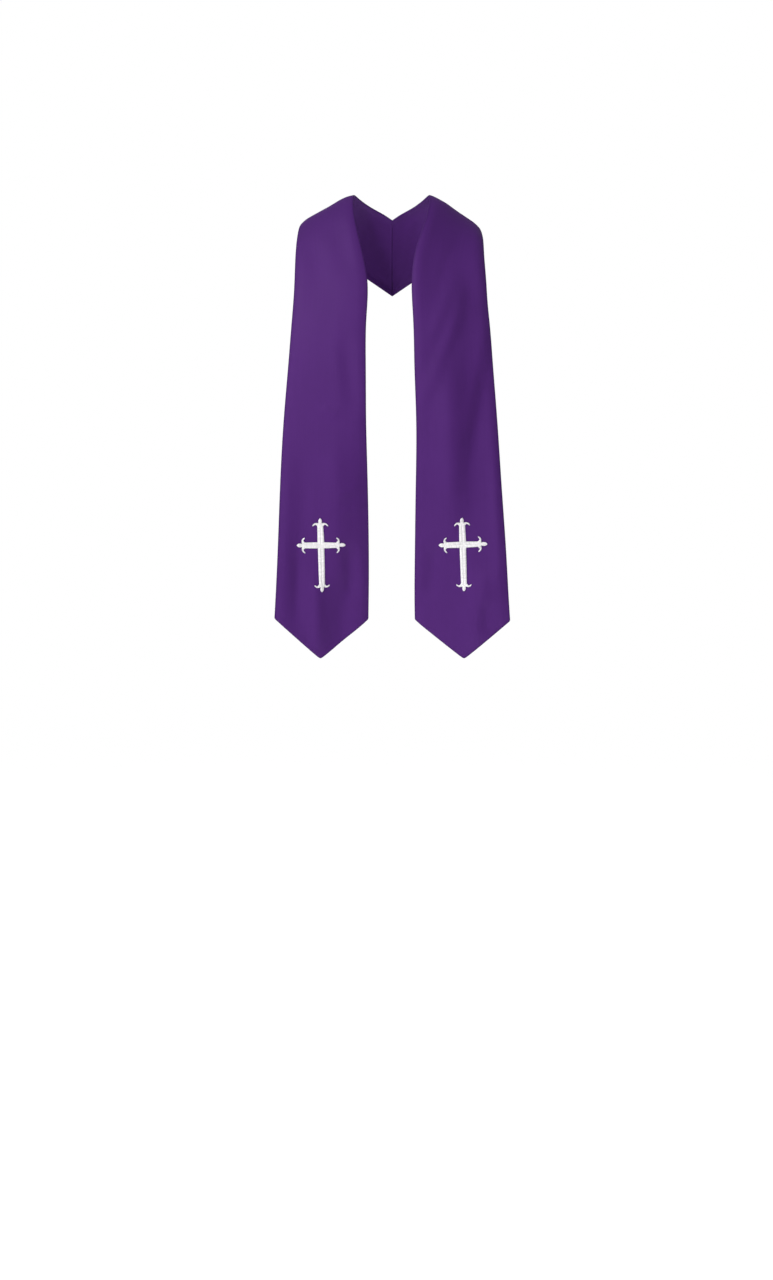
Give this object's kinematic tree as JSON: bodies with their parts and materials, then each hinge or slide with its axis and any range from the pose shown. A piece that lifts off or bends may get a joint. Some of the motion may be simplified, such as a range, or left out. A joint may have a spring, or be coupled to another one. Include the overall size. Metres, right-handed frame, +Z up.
{
  "type": "choir stole",
  "caption": "Worn choir stole with pointed ends and an embroidered cross on each, mitred at the back of the neck.",
  "frame": {"origin": "the middle of the neck hollow, level with the places where the cloth lies on the shoulders beside the neck", "axes": "+Z up, the front with the pointed ends faces -Y, and +X is the wearer's left"},
  "size_m": [0.3287, 0.2251, 0.6478],
  "materials": {
    "cloth": "smooth satin-weave polyester with a soft sheen",
    "embroidery": "raised satin stitch in white thread"
  },
  "bodies": {
    "root": {"panel_right": "cloth", "panel_left": "cloth", "cross_right": "embroidery", "cross_left": "embroidery"}
  },
  "joints": []
}
